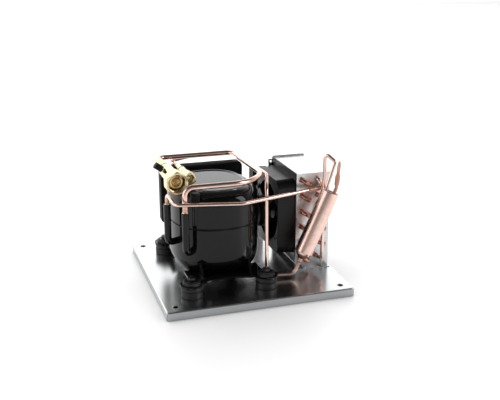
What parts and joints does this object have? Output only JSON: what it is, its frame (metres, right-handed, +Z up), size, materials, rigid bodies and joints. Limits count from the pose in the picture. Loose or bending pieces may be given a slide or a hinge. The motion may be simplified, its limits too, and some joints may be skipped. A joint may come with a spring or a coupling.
{
  "type": "refrigeration condensing unit",
  "caption": "Air-cooled hermetic condensing unit on a square base tray, with fan, finned coil, filter drier, copper lines and self-sealing couplings.",
  "frame": {"origin": "middle of the footprint, on the surface that the base tray's rim stands on", "axes": "+Z up, +X along the front edge from the compressor to the condenser coil, +Y from the front, where the couplings point, to the back"},
  "size_m": [0.33, 0.33, 0.2329],
  "materials": {
    "zinc_plate": "zinc plated, bright",
    "black_enamel": "gloss black enamel",
    "black_plastic": "satin black",
    "rubber": "matt black",
    "steel": "plain or blackened steel",
    "copper": "bright drawn copper",
    "desiccant": "moulded core, matt",
    "galvanised": "galvanised sheet",
    "aluminium": "plain aluminium",
    "brass": "plain machined brass",
    "cast_iron": "machined casting"
  },
  "bodies": {
    "unit": {"base_plate": "zinc_plate", "box_cover_screws": "steel", "cable_gland": "black_plastic", "coil_fins": "aluminium", "coil_front_plate": "galvanised", "coil_inlet_elbow": "copper", "coil_rear_plate": "galvanised", "coil_return_bends": "copper", "coil_side_panels": "galvanised", "coil_tubes": "copper", "compressor_lower_shell": "black_enamel", "compressor_upper_shell": "black_enamel", "condenser_outlet_line": "copper", "control_box_base": "black_plastic", "control_box_bracket": "galvanised", "control_box_cover": "black_plastic", "cylinder_block": "cast_iron", "cylinder_head": "cast_iron", "deck_screws": "steel", "discharge_line": "copper", "discharge_stub": "black_enamel", "drier_core": "desiccant", "drier_process_tube": "copper", "drier_shell": "copper", "electrical_box_base": "black_plastic", "electrical_box_cover": "black_plastic", "fan_motor": "black_enamel", "fan_motor_spider": "black_enamel", "fan_shroud": "black_enamel", "foot_bolts": "steel", "foot_grommets": "rubber", "foot_nuts": "steel", "foot_rails": "black_enamel", "foot_sleeves": "steel", "foot_washers": "steel", "liquid_coupling_body": "brass", "liquid_line": "copper", "liquid_poppet_spring": "steel", "motor_stator": "steel", "process_cap": "black_plastic", "process_stub": "black_enamel", "service_port_cap": "black_plastic", "shell_seam_weld": "black_enamel", "starting_relay": "black_plastic", "suction_coupling_body": "brass", "suction_line": "copper", "suction_poppet_spring": "steel", "suction_stub": "black_enamel", "suspension_springs": "steel", "terminal_fence": "black_enamel", "terminal_pins": "steel"},
    "fan_rotor": {"fan_blade": "black_plastic", "fan_motor_shaft": "steel"},
    "pump_rotor": {"motor_rotor": "aluminium", "crankshaft": "steel"},
    "pump_piston": {"piston": "cast_iron"},
    "suction_nut": {"suction_coupling_nut": "brass"},
    "liquid_nut": {"liquid_coupling_nut": "brass"},
    "suction_valve": {"suction_poppet": "brass"},
    "liquid_valve": {"liquid_poppet": "brass"}
  },
  "joints": [
    {"name": "fan_spin", "type": "hinge", "parent": "unit", "child": "fan_rotor", "pos_m": [0.0655, 0.0115, 0.112], "axis": [1, 0, 0], "continuous": true},
    {"name": "pump_spin", "type": "hinge", "parent": "unit", "child": "pump_rotor", "pos_m": [-0.044, -0.0035, 0.059], "axis": [0, 0, 1], "continuous": true},
    {"name": "piston_slide", "type": "slide", "parent": "unit", "child": "pump_piston", "axis": [0, -1, 0], "range_m": [-0.008, 0.008]},
    {"name": "suction_nut_turn", "type": "hinge", "parent": "unit", "child": "suction_nut", "pos_m": [-0.1175, -0.057, 0.197], "axis": [0, 1, 0], "continuous": true},
    {"name": "liquid_nut_turn", "type": "hinge", "parent": "unit", "child": "liquid_nut", "pos_m": [-0.09, -0.03, 0.1955], "axis": [0, 1, 0], "continuous": true},
    {"name": "suction_valve_press", "type": "slide", "parent": "unit", "child": "suction_valve", "axis": [0, 1, 0], "range_m": [0, 0.005], "stiffness_N_per_m": 800, "springref_m": -0.004, "deforming": ["suction_poppet_spring"]},
    {"name": "liquid_valve_press", "type": "slide", "parent": "unit", "child": "liquid_valve", "axis": [0, 1, 0], "range_m": [0, 0.005], "stiffness_N_per_m": 500, "springref_m": -0.004, "deforming": ["liquid_poppet_spring"]}
  ]
}
